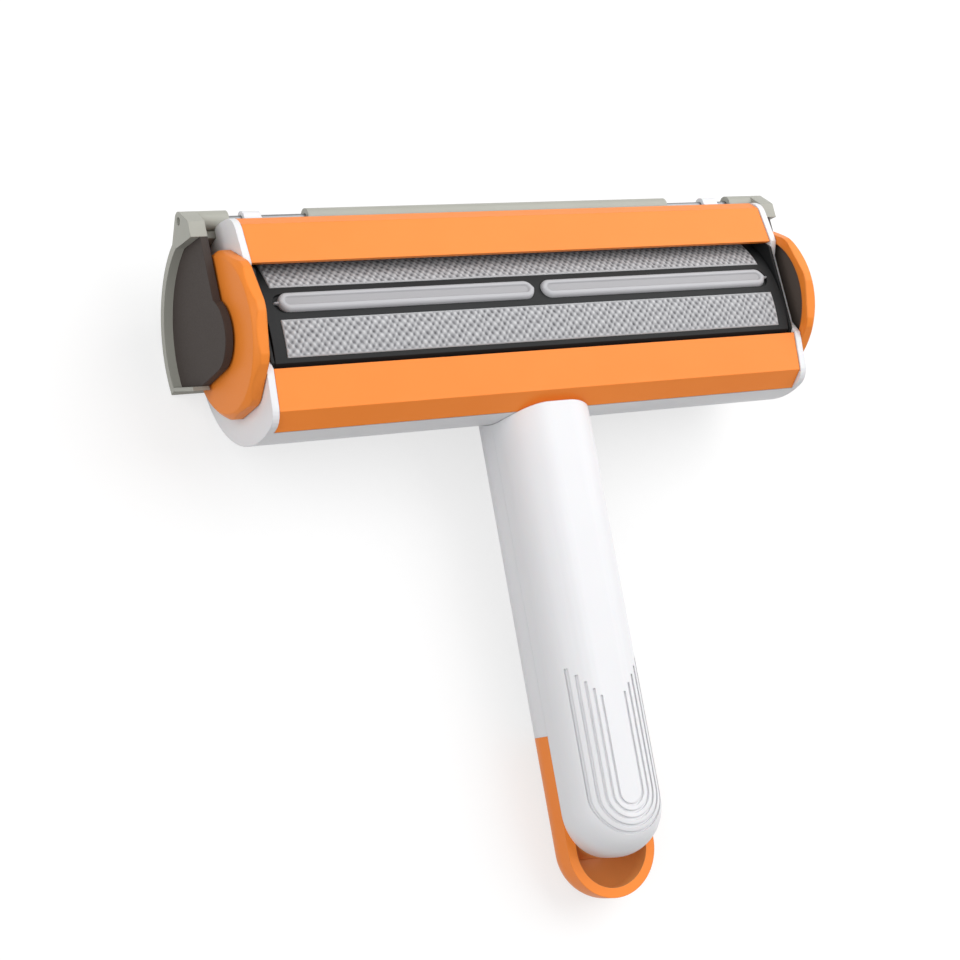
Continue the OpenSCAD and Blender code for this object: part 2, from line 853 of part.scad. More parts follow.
// Shaft across the handle between two depths
module across(t, r, d0, d1) {
    translate([0, -t, d0]) cylinder(r = r, h = d1 - d0);
}

module handle_front() {
    color("white") in_place() difference() {
        in_handle() difference() {
            intersection() {
                pill(0, 0, handle_len);
                half_space(true);
            }
            difference() {
                pill(handle_wall, -cut, handle_len);
                for (t = screw_places) across(t, screw_r + boss_wall, 0, handle_half_d - handle_wall / 2);
            }
            difference() {
                groove_cutter();
                pill(groove_depth, 0, handle_len);
            }
            for (t = screw_places) across(t, screw_r, -cut, screw_reach + tip_gap);
        }
        head_clearance();
    }
}

// Rear half of the handle, cut from a solid drawn as its child
module rear_half() {
    difference() {
        intersection() {
            children();
            half_space(false);
        }
        difference() {
            pill(handle_wall, -cut, handle_len);
            for (t = screw_places)
                across(t, screw_head_r + boss_wall, -handle_half_d + handle_wall / 2, 0);
        }
        for (t = screw_places) across(t, screw_r + screw_gap, -handle_half_d - cut, cut);
        for (t = screw_places) across(t, screw_head_r + screw_gap, -handle_half_d - cut, -screw_seat);
    }
}

module handle_rear() {
    color("white") in_place() difference() {
        in_handle() difference() {
            rear_half() pill_bar(0, 0, tail_start);
            across(neck_screw_at, neck_screw_r + screw_gap, -handle_half_d - cut, 0);
            across(neck_screw_at, neck_head_r + screw_gap, -handle_half_d - cut, -neck_seat);
        }
        head_clearance();
    }
}

// Pocket between the handle's round end and the loop
module loop_pocket() {
    difference() {
        pill(loop_t, handle_len, loop_end);
        across(handle_len, handle_half_w, -2 * handle_half_d, 2 * handle_half_d);
    }
}

module tail_loop() {
    far = 2 * loop_end;
    color("sandybrown") in_place() difference() {
        in_handle() difference() {
            rear_half() pill(0, tail_start, loop_end);
            loop_pocket();
        }
        // Flat heel on which the handle rests
        translate([-far / 2, -far, -head_r - far]) cube([far, far, far]);
    }
}

module handle_screws() {
    color("silver") in_place() in_handle() for (t = screw_places) {
        across(t, screw_r, -screw_seat, screw_reach);
        across(t, screw_head_r, -screw_seat - screw_head_h, -screw_seat);
    }
}

module neck_screw() {
    color("silver") in_place() in_handle() {
        plug_in = handle_wall + plug_gap + plug_wall - handle_half_d;
        across(neck_screw_at, neck_screw_r, -neck_seat, plug_in + neck_past);
        across(neck_screw_at, neck_head_r, sink - handle_half_d, -neck_seat);
    }
}

housing();
panel(1);  // upper_panel
panel(-1);  // lower_panel
scraper(1);  // upper_scraper
scraper(-1);  // lower_scraper
bush(-1);  // left_bush
bush(1);  // right_bush
hinge_pin();
handle_front();
handle_rear();
tail_loop();
handle_screws();
neck_screw();
drum();
fabric(1);  // upper_fabric
fabric(-1);  // lower_fabric
blade(-1);  // left_blade
blade(1);  // right_blade
knob(-1);  // left_knob
knob(1);  // right_knob
knob_screw(-1);  // left_knob_screw
knob_screw(1);  // right_knob_screw
lid_shell();
lid_plate(-1);  // left_lid_plate
lid_plate(1);  // right_lid_plate
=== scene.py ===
"""Looks of a pet hair removal brush that lies on its back with its fabric window up.

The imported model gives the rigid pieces.  This scene dresses them in moulded
plastics, steel and rubber, and makes the woven lint strips and the soft wiper
blades as surfaces of their own.
"""

import json
import logging
from dataclasses import dataclass, field
from enum import Enum
from typing import Any, Iterable, Optional

import bpy
import numpy as np
from mathutils import Euler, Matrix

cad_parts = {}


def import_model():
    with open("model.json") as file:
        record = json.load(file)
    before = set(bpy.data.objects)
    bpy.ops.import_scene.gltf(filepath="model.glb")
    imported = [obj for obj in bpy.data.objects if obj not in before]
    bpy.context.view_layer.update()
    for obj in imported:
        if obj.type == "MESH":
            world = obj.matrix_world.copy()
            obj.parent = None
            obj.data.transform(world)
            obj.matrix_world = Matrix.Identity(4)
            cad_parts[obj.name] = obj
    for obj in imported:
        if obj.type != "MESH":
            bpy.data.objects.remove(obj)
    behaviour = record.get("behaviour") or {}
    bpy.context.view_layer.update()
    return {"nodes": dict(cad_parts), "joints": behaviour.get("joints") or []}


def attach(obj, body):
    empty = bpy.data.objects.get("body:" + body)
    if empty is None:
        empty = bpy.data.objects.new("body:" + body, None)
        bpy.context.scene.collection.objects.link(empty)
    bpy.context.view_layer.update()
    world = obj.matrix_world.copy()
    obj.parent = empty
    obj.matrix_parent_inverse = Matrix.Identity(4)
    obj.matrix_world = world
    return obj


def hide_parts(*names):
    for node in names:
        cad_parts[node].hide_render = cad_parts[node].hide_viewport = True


LOG = logging.getLogger("brush")
MM = 0.001
# Nearly all values of a noise texture lie between these two.
NOISE_LOW, NOISE_HIGH = 0.3, 0.7


class Body(str, Enum):
    """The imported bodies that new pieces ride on."""

    DRUM = "drum_body"


class Slot(str, Enum):
    """The record's material slots that are handed along with the new pieces."""

    FABRIC = "lint_fabric"
    BLADE = "silver_blade"


class Edge(Enum):
    """The side of the face's middle line that a strip lies on, as a sign across the drum."""

    HANDLE = -1
    HINGE = 1


class End(Enum):
    """The half of the head that a blade lies in, as a sign along X."""

    LEFT = -1
    RIGHT = 1


# --- colours and nodes ---------------------------------------------------------------


def linear(hex_code: str) -> tuple[float, float, float, float]:
    """Turns an sRGB hex colour into linear values.

    Args:
        hex_code: Six hex digits, such as "FFAA55".

    Returns:
        Linear red, green and blue, and an alpha of one.
    """
    srgb = np.array([int(hex_code[i:i + 2], 16) / 255 for i in (0, 2, 4)])
    rgb = np.where(srgb <= 0.04045, srgb / 12.92, ((srgb + 0.055) / 1.055) ** 2.4)
    return (float(rgb[0]), float(rgb[1]), float(rgb[2]), 1.0)


def add_node(tree: bpy.types.NodeTree, kind: str, settings: Optional[dict[str, Any]] = None,
             links: Optional[dict[Any, bpy.types.NodeSocket]] = None) -> bpy.types.Node:
    """Adds one shader node with its settings and links.

    Args:
        tree: The material's node tree.
        kind: Blender's name of the node type.
        settings: Attribute names, or input names or numbers, with their values.
        links: Input names or numbers with the sockets that feed them.

    Returns:
        The new node.
    """
    node = tree.nodes.new(kind)
    for key, value in (settings or {}).items():
        if isinstance(key, str) and hasattr(node, key) and key not in node.inputs:
            setattr(node, key, value)
        else:
            node.inputs[key].default_value = value
    for key, socket in (links or {}).items():
        tree.links.new(socket, node.inputs[key])
    return node


@dataclass(frozen=True)
class Finish:
    """A surface finish: a base colour with a fine mottle, a grain and soft edges.

    Attributes:
        name: Name of the real material.
        colour: Base colour as sRGB hex.
        shade: Colour of the mottle's darker patches.
        roughness: Microscopic roughness of the surface.
        metallic: One for bare metal, zero for the rest.
        ior: Index of refraction.
        grain_mm: Size of the surface grain.
        grain_depth_mm: Height of the surface grain.
        edge_mm: Radius of the rounding that moulded or rolled edges have.
        mottle_mm: Size of the colour patches.
        subsurface: Share of light that soaks into a pale plastic.
        soak_mm: Depth to which it soaks in.
        shinier: Factor on the roughness at the grain's low end.
        duller: Factor on the roughness at the grain's high end.
        bump: Strength of the surface grain.
    """

    name: str
    colour: str
    shade: str
    roughness: float
    metallic: float = 0.0
    ior: float = 1.5
    grain_mm: float = 0.5
    grain_depth_mm: float = 0.004
    edge_mm: float = 0.3
    mottle_mm: float = 18.0
    subsurface: float = 0.0
    soak_mm: float = 2.0
    shinier: float = 0.9
    duller: float = 1.12
    bump: float = 0.6

    def build(self) -> bpy.types.Material:
        """Makes the material.

        Returns:
            A node-based material on Object coordinates.
        """
        material, tree, place = self.start()
        mottle = add_node(tree, "ShaderNodeTexNoise",
                          {"Scale": 1 / (self.mottle_mm * MM), "Detail": 3.0}, {"Vector": place})
        grain = add_node(tree, "ShaderNodeTexNoise",
                         {"Scale": 1 / (self.grain_mm * MM), "Detail": 2.0}, {"Vector": place})
        blend = add_node(tree, "ShaderNodeMix",
                         {"data_type": "RGBA", 6: linear(self.colour), 7: linear(self.shade)},
                         {0: mottle.outputs["Fac"]})
        rough = add_node(tree, "ShaderNodeMapRange",
                         {"From Min": NOISE_LOW, "From Max": NOISE_HIGH,
                          "To Min": self.roughness * self.shinier,
                          "To Max": self.roughness * self.duller},
                         {"Value": grain.outputs["Fac"]})
        edge = add_node(tree, "ShaderNodeBevel", {"samples": 4, "Radius": self.edge_mm * MM})
        bump = add_node(tree, "ShaderNodeBump",
                        {"Strength": self.bump, "Distance": self.grain_depth_mm * MM},
                        {"Height": grain.outputs["Fac"], "Normal": edge.outputs["Normal"]})
        colour = self.tint(tree, place, blend.outputs[2])
        self.finish(tree, colour, rough.outputs["Result"], bump.outputs["Normal"])
        return material

    def tint(self, tree: bpy.types.NodeTree, place: bpy.types.NodeSocket,
             colour: bpy.types.NodeSocket) -> bpy.types.NodeSocket:
        """Lets a kind of finish change its colour by place.

        Args:
            tree: The material's node tree.
            place: Socket of the Object coordinates.
            colour: Socket of the colour so far.

        Returns:
            The colour to use, here the same.
        """
        return colour

    def start(self) -> tuple[bpy.types.Material, bpy.types.NodeTree, bpy.types.NodeSocket]:
        """Makes an empty material.

        Returns:
            The material, its tree and the socket of its Object coordinates.
        """
        material = bpy.data.materials.new(self.name)
        material.use_nodes = True
        tree = material.node_tree
        tree.nodes.clear()
        place = add_node(tree, "ShaderNodeTexCoord").outputs["Object"]
        return material, tree, place

    def finish(self, tree: bpy.types.NodeTree, colour: bpy.types.NodeSocket,
               rough: bpy.types.NodeSocket, normal: bpy.types.NodeSocket) -> None:
        """Adds the shader and the output.

        Args:
            tree: The material's node tree.
            colour: Socket of the base colour.
            rough: Socket of the roughness.
            normal: Socket of the normal.
        """
        shader = add_node(tree, "ShaderNodeBsdfPrincipled",
                          {"Metallic": self.metallic, "IOR": self.ior,
                           "Subsurface Weight": self.subsurface,
                           "Subsurface Scale": self.soak_mm * MM},
                          {"Base Color": colour, "Roughness": rough, "Normal": normal})
        add_node(tree, "ShaderNodeOutputMaterial", links={"Surface": shader.outputs["BSDF"]})


@dataclass(frozen=True)
class WovenFinish(Finish):
    """A woven lint cloth whose light loops stand between dark pits.

    Attributes:
        gap: Colour of the pits between the loops.
        shade_at: Height at which the cloth has its middle colour, as a share of the loops'.
        pit_roughness: Roughness of the pits.
        fibre_mm: Size of the fibres' own mottle.
        fibre_depth_mm: Height of the fibres.
        fibre_share: Share by which the fibres' mottle moves the height.
        fibre_shift: What centres that share on zero.
        bump: Strength of the fibres' relief.
    """

    gap: str = "4A4A4C"
    shade_at: float = 0.45
    pit_roughness: float = 0.85
    fibre_mm: float = 0.35
    fibre_depth_mm: float = 0.05
    fibre_share: float = 0.35
    fibre_shift: float = -0.17
    bump: float = 0.7

    def build(self) -> bpy.types.Material:
        """Makes the material from the piece's own "loop" attribute.

        Returns:
            A node-based material: pale on the loops' crowns and dark in the pits.
        """
        material, tree, place = self.start()
        loop = add_node(tree, "ShaderNodeAttribute", {"attribute_name": "loop"})
        fibre = add_node(tree, "ShaderNodeTexNoise",
                         {"Scale": 1 / (self.fibre_mm * MM), "Detail": 3.0}, {"Vector": place})
        lift = add_node(tree, "ShaderNodeMath",
                        {"operation": "MULTIPLY_ADD", 1: self.fibre_share, 2: self.fibre_shift},
                        {0: fibre.outputs["Fac"]})
        height = add_node(tree, "ShaderNodeMath", {"operation": "ADD", "use_clamp": True},
                          {0: loop.outputs["Fac"], 1: lift.outputs[0]})
        ramp = add_node(tree, "ShaderNodeValToRGB", links={"Fac": height.outputs[0]})
        stops = ramp.color_ramp.elements
        stops[0].position, stops[0].color = 0.0, linear(self.gap)
        stops[1].position, stops[1].color = 1.0, linear(self.colour)
        middle = stops.new(self.shade_at)
        middle.color = linear(self.shade)
        rough = add_node(tree, "ShaderNodeMapRange",
                         {"To Min": self.pit_roughness, "To Max": self.roughness},
                         {"Value": height.outputs[0]})
        bump = add_node(tree, "ShaderNodeBump",
                        {"Strength": self.bump, "Distance": self.fibre_depth_mm * MM},
                        {"Height": fibre.outputs["Fac"]})
        self.finish(tree, ramp.outputs["Color"], rough.outputs["Result"], bump.outputs["Normal"])
        return material


@dataclass(frozen=True)
class PaintedRecessFinish(Finish):
    """A finish with painted light and shade: another colour inside one round or slotted recess.

    Attributes:
        inside: Colour painted into the recess as its light and shade.
        centre: Point on the recess's axis in mm.
        lean: Turn of the recess's own frame about X in degrees.
        axis: Direction of the recess's axis in its own frame.
        slot_end: Place along its own Y in metres where the recess stops being a slot.
        reach: Radius of the recess in mm.
        depth: Distance from the centre along the axis that the recess stays within in mm.
    """

    inside: str = "5E544E"
    centre: tuple[float, float, float] = (0.0, 65.359, 29.2)
    lean: float = 0.0
    axis: tuple[float, float, float] = (1.0, 0.0, 0.0)
    slot_end: float = 1.0
    reach: float = 19.74
    depth: float = 90.56

    def tint(self, tree: bpy.types.NodeTree, place: bpy.types.NodeSocket,
             colour: bpy.types.NodeSocket) -> bpy.types.NodeSocket:
        """Mixes in the painted colour where a point is near the recess's axis and within its
        depth.

        Args:
            tree: The material's node tree.
            place: Socket of the Object coordinates.
            colour: Socket of the colour outside the recess.

        Returns:
            Socket of the mixed colour.
        """
        own = add_node(tree, "ShaderNodeMapping",
                       {"vector_type": "TEXTURE", "Location": tuple(v * MM for v in self.centre),
                        "Rotation": (float(np.radians(self.lean)), 0.0, 0.0)}, {"Vector": place})
        slot = add_node(tree, "ShaderNodeVectorMath",
                        {"operation": "MINIMUM", 1: (1.0, self.slot_end, 1.0)},
                        {0: own.outputs[0]})
        across = tuple(1.0 - v for v in self.axis)
        inside = [self.shorter(tree, slot.outputs[0], self.axis, self.depth),
                  self.shorter(tree, slot.outputs[0], across, self.reach)]
        both = add_node(tree, "ShaderNodeMath", {"operation": "MULTIPLY"},
                        {0: inside[0], 1: inside[1]})
        # The recess gets its painted light and shade here.
        return add_node(tree, "ShaderNodeMix", {"data_type": "RGBA", 7: linear(self.inside)},
                        {0: both.outputs[0], 6: colour}).outputs[2]

    @staticmethod
    def shorter(tree: bpy.types.NodeTree, vector: bpy.types.NodeSocket,
                keep: tuple[float, float, float], limit_mm: float) -> bpy.types.NodeSocket:
        """Tells whether the kept part of a vector is shorter than a limit.

        Args:
            tree: The material's node tree.
            vector: Socket of the vector in metres.
            keep: One for each component that counts, zero for the others.
            limit_mm: The limit in mm.

        Returns:
            A socket that is one inside the limit and zero outside.
        """
        part = add_node(tree, "ShaderNodeVectorMath", {"operation": "MULTIPLY", 1: keep},
                        {0: vector})
        size = add_node(tree, "ShaderNodeVectorMath", {"operation": "LENGTH"},
                        {0: part.outputs[0]})
        return add_node(tree, "ShaderNodeMath", {"operation": "LESS_THAN", 1: limit_mm * MM},
                        {0: size.outputs["Value"]}).outputs[0]


@dataclass(frozen=True)
class PaintedChannelShadeFinish(Finish):
    """The blades' finish: silver on the rim, with painted shade that darkens the channel.

    Attributes:
        inside: Colour of the painted shade on the channel's floor.
    """

    inside: str = "A2A1A4"

    def tint(self, tree: bpy.types.NodeTree, place: bpy.types.NodeSocket,
             colour: bpy.types.NodeSocket) -> bpy.types.NodeSocket:
        """Mixes in the channel's painted shade by the piece's own "loop" attribute.

        Args:
            tree: The material's node tree.
            place: Socket of the Object coordinates, unused here.
            colour: Socket of the rim's colour.

        Returns:
            Socket of the mixed colour.
        """
        depth = add_node(tree, "ShaderNodeAttribute", {"attribute_name": "loop"})
        return add_node(tree, "ShaderNodeMix", {"data_type": "RGBA", 7: linear(self.inside)},
                        {0: depth.outputs["Fac"], 6: colour}).outputs[2]


# Injection-moulded ABS with a satin skin: a bright body with soft, broad highlights.  The
# plastics' IOR is under ABS's own 1.5, because the grained skin shows the white room less.
WHITE_ABS = Finish("satin_white_abs", "EBEBED", "E6E6E9", 0.36, ior=1.3, subsurface=0.04,
                   edge_mm=0.35)
# The same skin in a warm pigment, which stays saturated in the shade.
ORANGE_ABS = Finish("satin_orange_abs", "FA8E36", "F78830", 0.4, ior=1.33, edge_mm=0.3)
# The knobs' orange; painted shade darkens the recess behind the rim that shows over the end
# wall.
KNOB_ABS_PAINTED_SHADE = PaintedRecessFinish("satin_orange_abs_knob_painted_shade", "F58E36", "F28830", 0.4, ior=1.3,
                          edge_mm=1.0)
# The loop's orange; painted shade and reflection make the inside of its pocket browner and
# paler.
POCKET_ABS_PAINTED_LIGHT = PaintedRecessFinish("satin_orange_abs_pocket_painted_light", "FA8E36", "F78830", 0.4, ior=1.33,
                          inside="E29C5A", centre=(0.0, -86.817, 13.9), lean=5.182,
                          axis=(0.0, 0.0, 1.0), slot_end=0.0, reach=11.45, depth=14.3)
# Grey ABS of the lid, a little duller.
GREY_ABS = Finish("satin_grey_abs", "AFAFA6", "A5A59C", 0.42, ior=1.33, edge_mm=0.25)
# Dark grained plate: the mould's fine spark texture swallows the highlight.
DARK_ABS = Finish("grained_dark_abs", "4D4643", "47413E", 0.55, ior=1.18, grain_mm=0.35,
                  grain_depth_mm=0.012)
# Black nylon drum with a low sheen.
BLACK_NYLON = Finish("moulded_black_nylon", "252627", "1F2021", 0.5, ior=1.25, grain_mm=0.4,
                     grain_depth_mm=0.008)
# Bright zinc-plated steel of the pin and the screws: it mirrors the room, softly blurred.
STEEL = Finish("zinc_plated_steel", "868788", "797A7C", 0.4, metallic=1.0, grain_mm=0.2,
               edge_mm=0.12)
# Black scraper rubber, dull and dusty.
RUBBER = Finish("black_scraper_rubber", "2B2A2A", "343232", 0.72, grain_mm=0.3,
                grain_depth_mm=0.01)
# Silver-pigmented soft elastomer: pale, with a faint metallic depth under a satin skin.
# Painted shade darkens the blades' channel.
ELASTOMER = PaintedChannelShadeFinish("silver_soft_elastomer_painted_channel_shade", "BABABD", "B2B2B6", 0.42, ior=1.4,
                          grain_mm=0.25, grain_depth_mm=0.003, mottle_mm=30.0, edge_mm=0.05)
# Lint cloth of polyester: silver loops with dark pits between them, like a chessboard.
LINT_CLOTH = WovenFinish("woven_polyester_lint_cloth", "D0D0D2", "9E9EA1", 0.6, gap="515154")

NODE_FINISHES: dict[str, Finish] = {
    "housing": WHITE_ABS, "handle_front": WHITE_ABS, "handle_rear": WHITE_ABS,
    "upper_panel": ORANGE_ABS, "lower_panel": ORANGE_ABS, "tail_loop": POCKET_ABS_PAINTED_LIGHT,
    "left_knob": KNOB_ABS_PAINTED_SHADE, "right_knob": KNOB_ABS_PAINTED_SHADE,
    "lid_shell": GREY_ABS, "left_lid_plate": DARK_ABS, "right_lid_plate": DARK_ABS,
    "drum": BLACK_NYLON, "left_bush": BLACK_NYLON, "right_bush": BLACK_NYLON,
    "upper_scraper": RUBBER, "lower_scraper": RUBBER, "hinge_pin": STEEL,
    "handle_screws": STEEL, "neck_screw": STEEL, "left_knob_screw": STEEL,
    "right_knob_screw": STEEL, "upper_fabric": LINT_CLOTH, "lower_fabric": LINT_CLOTH,
    "left_blade": ELASTOMER, "right_blade": ELASTOMER,
}


@dataclass
class Palette:
    """Builds each finish once and hands it out."""

    made: dict[str, bpy.types.Material] = field(default_factory=dict)

    def get(self, finish: Finish) -> bpy.types.Material:
        """Gives a finish's material, made on first use.

        Args:
            finish: The finish.

        Returns:
            Its one material.
        """
        if finish.name not in self.made:
            self.made[finish.name] = finish.build()
        return self.made[finish.name]

    def dress(self, piece: bpy.types.Object, finish: Finish) -> None:
        """Puts one finish on a piece.

        Args:
            piece: The piece or carried-over node.
            finish: Its finish.
        """
        piece.data.materials.clear()
        piece.data.materials.append(self.get(finish))


# --- surfaces -----------------------------------------------------------------------


def ring_surface(name: str, rings: np.ndarray,
                 attribute: Optional[np.ndarray] = None) -> bpy.types.Object:
    """Skins a row of closed rings and caps both ends.

    Point (i, j) is the j-th point of the i-th ring.  Each quad joins two points of a
    ring to the same two of the next ring, and each end ring is one flat face.

    Args:
        name: Name of the piece.
        rings: Points in metres, rings by points by three.
        attribute: One value a point, kept as the piece's "loop" attribute.

    Returns:
        The piece, with its place in its mesh.
    """
    rows, count = rings.shape[:2]
    index = np.arange(rows * count).reshape(rows, count)
    ahead = np.roll(index, -1, axis=1)
    quads = np.stack([index[:-1], index[1:], ahead[1:], ahead[:-1]], axis=-1).reshape(-1, 4)
    mesh = bpy.data.meshes.new(name)
    faces = quads.tolist() + [index[0].tolist(), index[-1][::-1].tolist()]
    mesh.from_pydata(rings.reshape(-1, 3).tolist(), [], faces)
    if attribute is not None:
        layer = mesh.attributes.new("loop", "FLOAT", "POINT")
        layer.data.foreach_set("value", attribute.reshape(-1).astype(np.float32))
    mesh.polygons.foreach_set("use_smooth", np.ones(len(mesh.polygons), bool))
    mesh.update()
    piece = bpy.data.objects.new(name, mesh)
    bpy.context.scene.collection.objects.link(piece)
    return piece


@dataclass
class DrumFrame:
    """The drum's own frame: its axis in the model, its tilt at rest and its face.

    Attributes:
        axis_y: Place of the axis along Y in mm.
        axis_z: Height of the axis in mm.
        tilt: Tilt of the drum at rest in degrees, towards plus Y.
        crown: Height of the face's middle over the axis in mm.
        face_r: Radius of the face in mm.
    """

    axis_y: float
    axis_z: float
    tilt: float = 15.0
    crown: float = 13.7
    face_r: float = 36.0

    def place(self, x: np.ndarray, across: np.ndarray, radius: np.ndarray) -> np.ndarray:
        """Puts points that are given on the drum's face into the model.

        A point lies at `radius` from the centre of the face's arc and `across` from its
        middle line, and the whole is turned about X by the tilt.

        Args:
            x: Places along the head in mm.
            across: Distances from the face's middle line in mm, plus towards the lid's hinge.
            radius: Distances from the centre of the face's arc in mm.

        Returns:
            Points in metres, with a last axis of three.
        """
        up = np.sqrt(radius ** 2 - across ** 2) + self.crown - self.face_r
        turn = np.radians(self.tilt)
        y = across * np.cos(turn) + up * np.sin(turn)
        z = up * np.cos(turn) - across * np.sin(turn)
        return np.stack(np.broadcast_arrays(x, y + self.axis_y, z + self.axis_z), axis=-1) * MM


@dataclass
class LintStrip:
    """One strip of lint cloth seated in the drum's face.

    Attributes:
        frame: The drum's frame.
        edge: The hinge's side or the handle's side.
        half_length: Half of the strip's length in mm.
        inner: Distance of the near edge from the face's middle in mm.
        outer: Distance of the far edge in mm.
        proud: Height of the loops' crowns over the drum's face in mm.
        thick: Thickness of the cloth in mm.
        pitch: Distance between loops along the strip in mm.
        row: Distance between rows of loops across the strip in mm.
        relief: Depth of the pits in mm.
        wander: Heights in mm of the two waves by which the rows of loops wander.
        uneven: Share by which the loops differ in height from place to place.
        border: Width of the plain border in mm.
        border_pit: Share of the pits' depth that the plain border has.
        turned: Depth by which the cloth's edge is turned down in mm.
        turn_width: Width over which it is turned down in mm.
        step: Distance between points in mm.
    """

    frame: DrumFrame
    edge: Edge
    half_length: float = 81.2
    inner: float = 5.2
    outer: float = 15.2
    proud: float = 0.5
    thick: float = 0.85
    pitch: float = 2.15
    row: float = 1.25
    relief: float = 0.42
    wander: tuple[float, float] = (0.16, 0.1)
    uneven: float = 0.15
    border: float = 0.5
    border_pit: float = 0.3
    turned: float = 0.2
    turn_width: float = 0.4
    step: float = 0.24

    def build(self, name: str) -> bpy.types.Object:
        """Makes the strip as rings across it, one every step along the head.

        The cloth is a chessboard of loops and pits: the product of a cosine wave along
        the strip and one across it, made a little stronger or weaker from place to
        place.  It fades to a plain border, where the edge turns down on a square curve.

        Args:
            name: Name of the piece.

        Returns:
            The strip.
        """
        x = np.linspace(-self.half_length, self.half_length,
                        int(2 * self.half_length / self.step))
        across = np.linspace(self.inner, self.outer, int((self.outer - self.inner) / self.step))
        xx, cc = np.meshgrid(x, across, indexing="ij")
        wobble = self.wander[0] * np.sin(xx * 0.9) + self.wander[1] * np.sin(xx * 2.3 + cc)
        board = (np.cos(2 * np.pi * (xx + wobble) / self.pitch)
                 * np.cos(np.pi * (cc + wobble) / self.row))
        patches = np.sin(1.9 * xx + 3.0 * np.sin(1.3 * cc) + 2.0 * np.sin(0.37 * xx))
        vary = 1 - self.uneven + self.uneven * patches
        margin = np.minimum(np.minimum(cc - self.inner, self.outer - cc),
                            self.half_length - np.abs(xx))
        woven = np.clip(margin / self.border, 0, 1)
        pits = 0.5 * (1 - board * vary) * woven + self.border_pit * (1 - woven)
        bend = 1 - np.clip(margin / self.turn_width, 0, 1)
        top = self.frame.face_r + self.proud - self.relief * pits - self.turned * bend ** 2
        under = np.full_like(top, self.frame.face_r + self.proud - self.thick)
        upper = self.frame.place(xx, self.edge.value * cc, top)
        lower = self.frame.place(xx, self.edge.value * cc, under)[:, [-1, 0]]
        rings = np.concatenate([upper, lower], axis=1)
        value = np.concatenate([1 - pits, np.full((len(x), 2), 1 - self.border_pit)], axis=1)
        if self.edge is Edge.HINGE:
            rings, value = rings[:, ::-1], value[:, ::-1]
        return ring_surface(name, rings, value)


@dataclass
class WiperBlade:
    """One soft blade: a long bar with a rounded rim around a shallow channel and a nib.

    Attributes:
        frame: The drum's frame.
        end: The left or the right half of the head.
        inner: Distance of the near end from the head's middle in mm.
        outer: Distance of the far end in mm.
        nib: Length of the nib at the far end in mm.
        nib_half: Half of the nib's width in mm where it starts.
        nib_taper: Share of its width that the nib loses towards its tip.
        nib_slope: Steepness of the nib's sides.
        width: Width of the bar in mm.
        height: Height of the rim over the drum's face in mm.
        seat: Depth of the bar's foot under the face in mm.
        rim: Width of the rim in mm.
        rounded: Share of the rim's width over which its shoulder is rounded.
        channel: Depth of the channel under the rim in mm.
        slope: Width of the step from the rim into the channel in mm.
        first_turn: Angle in radians at which a rounded end's first ring stands.
        first_gap: Distance of the nib's first ring from the bar's end in mm.
        end_points: Points along each rounded end.
        bar_points: Points along the straight bar.
        nib_points: Points along the nib.
        across_points: Points across the bar.
    """

    frame: DrumFrame
    end: End
    inner: float = 1.35
    outer: float = 80.5
    nib: float = 1.3
    nib_half: float = 0.4
    nib_taper: float = 0.5
    nib_slope: float = 0.5
    width: float = 5.9
    height: float = 1.25
    seat: float = 0.68
    rim: float = 1.45
    rounded: float = 0.7
    channel: float = 0.5
    slope: float = 0.5
    first_turn: float = 0.06
    first_gap: float = 0.05
    end_points: int = 14
    bar_points: int = 30
    nib_points: int = 6
    across_points: int = 41

    def build(self, name: str) -> bpy.types.Object:
        """Makes the blade as rings across it.

        The outline is a bar with half-round ends, and the nib continues the far end.  A
        point's height follows its distance from the outline: a quarter round up to the
        rim, then a smooth step down into the channel.

        Args:
            name: Name of the piece.

        Returns:
            The blade.
        """
        half = self.width / 2
        turn = np.linspace(self.first_turn, np.pi / 2, self.end_points)
        near = self.inner + half * (1 - np.cos(turn))
        far = self.outer - half * (1 - np.cos(turn[::-1]))
        tip = self.outer + np.linspace(self.first_gap, self.nib, self.nib_points)
        bar = np.linspace(near[-1], far[0], self.bar_points)[1:-1]
        x = np.concatenate([near, bar, far, tip])
        inset = np.clip(np.minimum(x - self.inner, self.outer - x) / half, 0, 1)
        outline = half * np.sqrt(1 - (1 - inset) ** 2)
        past = np.clip((x - self.outer) / self.nib, 0, 1)
        nib = self.nib_half * (1 - self.nib_taper * past)
        outline = np.where(x > self.outer - half / 2, np.maximum(outline, nib), outline)
        across = outline[:, None] * np.linspace(-1, 1, self.across_points)[None, :]
        along = np.broadcast_to(x[:, None], across.shape)
        beyond = half - np.minimum(np.minimum(along - self.inner, self.outer - along), half)
        inside = np.maximum(half - np.hypot(across, beyond),
                            self.nib_slope * (outline[:, None] - np.abs(across)))
        shoulder = 1 - np.clip(inside / (self.rounded * self.rim), 0, 1)
        step = np.clip((inside - self.rim) / self.slope, 0, 1)
        step = step * step * (3 - 2 * step)
        rise = self.height * np.sqrt(1 - shoulder ** 2) - self.channel * step
        top = self.frame.face_r + rise
        foot = np.full_like(top, self.frame.face_r - self.seat)[:, [-1, 0]]
        upper = self.frame.place(self.end.value * along, across, top)
        lower = self.frame.place(self.end.value * along[:, :2], across[:, [-1, 0]], foot)
        rings = np.concatenate([upper, lower], axis=1)
        # The channel's depth is kept as the mask of its painted shade.
        value = np.concatenate([step, np.zeros((len(x), 2))], axis=1)
        if self.end is End.LEFT:
            rings, value = rings[:, ::-1], value[:, ::-1]
        return ring_surface(name, rings, value)


